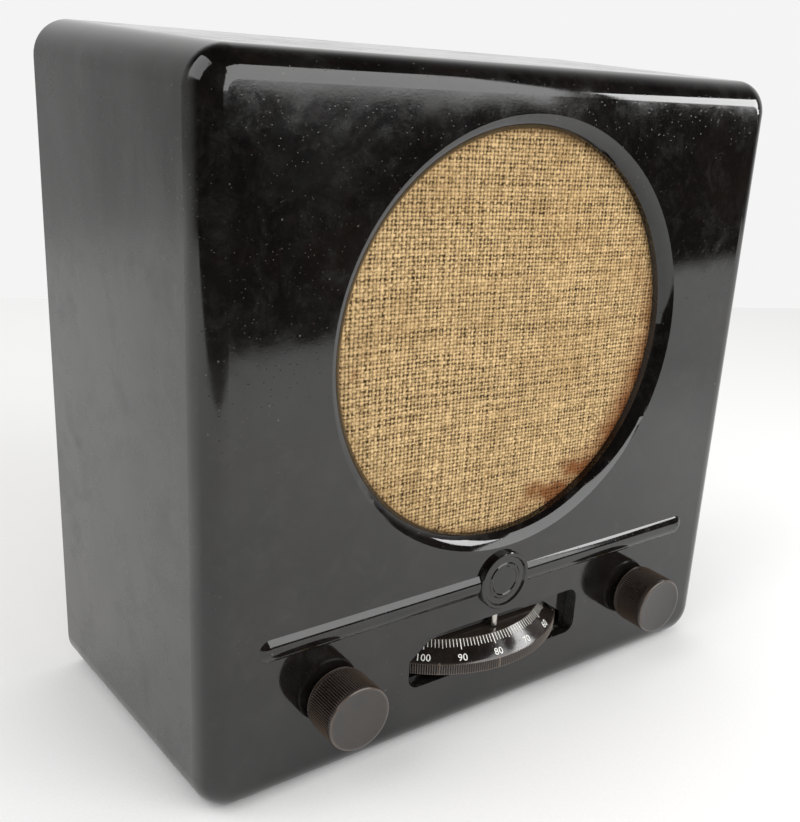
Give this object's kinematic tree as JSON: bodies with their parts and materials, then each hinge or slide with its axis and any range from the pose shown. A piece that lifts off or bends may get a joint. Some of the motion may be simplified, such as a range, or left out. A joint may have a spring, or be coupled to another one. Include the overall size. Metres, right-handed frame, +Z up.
{
  "type": "table radio receiver",
  "caption": "Small square moulded table radio with a round cloth-covered speaker, a thumb-turned tuning dial in a front window, and a control knob on either side.",
  "frame": {"origin": "on the surface the radio stands on, under the middle of its bounding box", "axes": "+X to the right as seen from the front, +Y from the front to the back, +Z up"},
  "size_m": [0.24, 0.1286, 0.235],
  "materials": {
    "bakelite": "gloss black-brown moulded bakelite",
    "knob_bakelite": "dark bakelite",
    "nickel": "nickel plate",
    "hessian": "coarse tan woven cloth",
    "hardboard": "pressed board",
    "zinc_steel": "zinc plated sheet",
    "steel_screw": "plain steel",
    "brass": "turned brass",
    "aluminium_vane": "rolled aluminium",
    "paper_cone": "black-brown moulded paper",
    "doped_cloth": "doped cloth",
    "magnet_steel": "painted magnet steel",
    "soft_iron": "soft iron",
    "enamel_wire": "enamelled copper winding",
    "ceramic": "unglazed ceramic",
    "valve_glass": "clear glass",
    "valve_phenolic": "phenolic base",
    "pertinax": "resin-bonded paper",
    "anode_metal": "carbonised nickel",
    "tinplate": "tinned plate",
    "carbon_body": "lacquered body",
    "black_rubber": "soft rubber",
    "laminations": "varnished laminations",
    "can_aluminium": "drawn can",
    "cotton_winding": "cotton-covered wire"
  },
  "bodies": {
    "cabinet": {"aerial_sockets": "nickel", "back_panel": "hardboard", "back_screws": "steel_screw", "baffle_board": "hardboard", "block_capacitor": "tinplate", "cabinet_shell": "bakelite", "cable_grommet": "black_rubber", "capacitor_frame": "zinc_steel", "carbon_resistors": "carbon_body", "chassis_screws": "steel_screw", "chassis_tray": "zinc_steel", "choke_core": "laminations", "choke_winding": "enamel_wire", "cone_surround": "doped_cloth", "control_brackets": "zinc_steel", "control_bushes": "brass", "dropper_bracket": "steel_screw", "dropper_former": "ceramic", "dropper_winding": "enamel_wire", "fixed_coil": "cotton_winding", "grille_cloth": "hessian", "index_pin": "nickel", "magnet_bridge": "zinc_steel", "mains_fuse": "ceramic", "mains_switch": "valve_phenolic", "medallion": "bakelite", "output_valve_base": "valve_phenolic", "output_valve_bulb": "valve_glass", "pole_pieces": "soft_iron", "reaction_stator": "aluminium_vane", "rectifier_base": "valve_phenolic", "rectifier_bulb": "valve_glass", "reed_clamp": "brass", "shaft_bushes": "brass", "smoothing_capacitor": "can_aluminium", "socket_strip": "pertinax", "speaker_basket": "zinc_steel", "speaker_coil": "enamel_wire", "speaker_magnet": "magnet_steel", "speaker_screws": "steel_screw", "stator_insulators": "ceramic", "stator_plates": "aluminium_vane", "tag_strip": "pertinax", "valve_electrodes": "anode_metal", "valve_sockets": "valve_phenolic"},
    "tuning_dial": {"dial_disc": "knob_bakelite", "dial_hub": "brass", "tuning_shaft": "steel_screw", "rotor_plates": "aluminium_vane"},
    "reaction_control": {"left_knob": "knob_bakelite", "left_shaft": "brass", "reaction_rotor": "aluminium_vane", "switch_cam": "pertinax"},
    "aerial_control": {"right_knob": "knob_bakelite", "right_shaft": "brass", "coupling_arm": "pertinax", "coupling_coil": "cotton_winding"},
    "cone": {"speaker_cone": "paper_cone", "drive_pin": "steel_screw"},
    "reed": {"armature_reed": "steel_screw"}
  },
  "joints": [
    {"name": "tuning_turn", "type": "hinge", "parent": "cabinet", "child": "tuning_dial", "pos_m": [0, -0.006, 0.035], "axis": [0, 0, 1], "range_deg": [-131, 39]},
    {"name": "reaction_turn", "type": "hinge", "parent": "cabinet", "child": "reaction_control", "pos_m": [-0.0701, -0.0477, 0.032], "axis": [0, 1, 0], "range_deg": [0, 210]},
    {"name": "aerial_turn", "type": "hinge", "parent": "cabinet", "child": "aerial_control", "pos_m": [0.0701, -0.0477, 0.032], "axis": [0, 1, 0], "range_deg": [-32, 60]},
    {"name": "cone_travel", "type": "slide", "parent": "cabinet", "child": "cone", "axis": [0, 1, 0], "range_m": [-0.0008, 0.0008], "stiffness_N_per_m": 400},
    {"name": "reed_rock", "type": "hinge", "parent": "cabinet", "child": "reed", "pos_m": [0, 0.0123, 0.1573], "axis": [1, 0, 0], "range_deg": [-3.2, 3.2]}
  ],
  "couplings": [
    {"joint": "reed_rock", "follows": "cone_travel", "rad_per_m": 66.667}
  ]
}
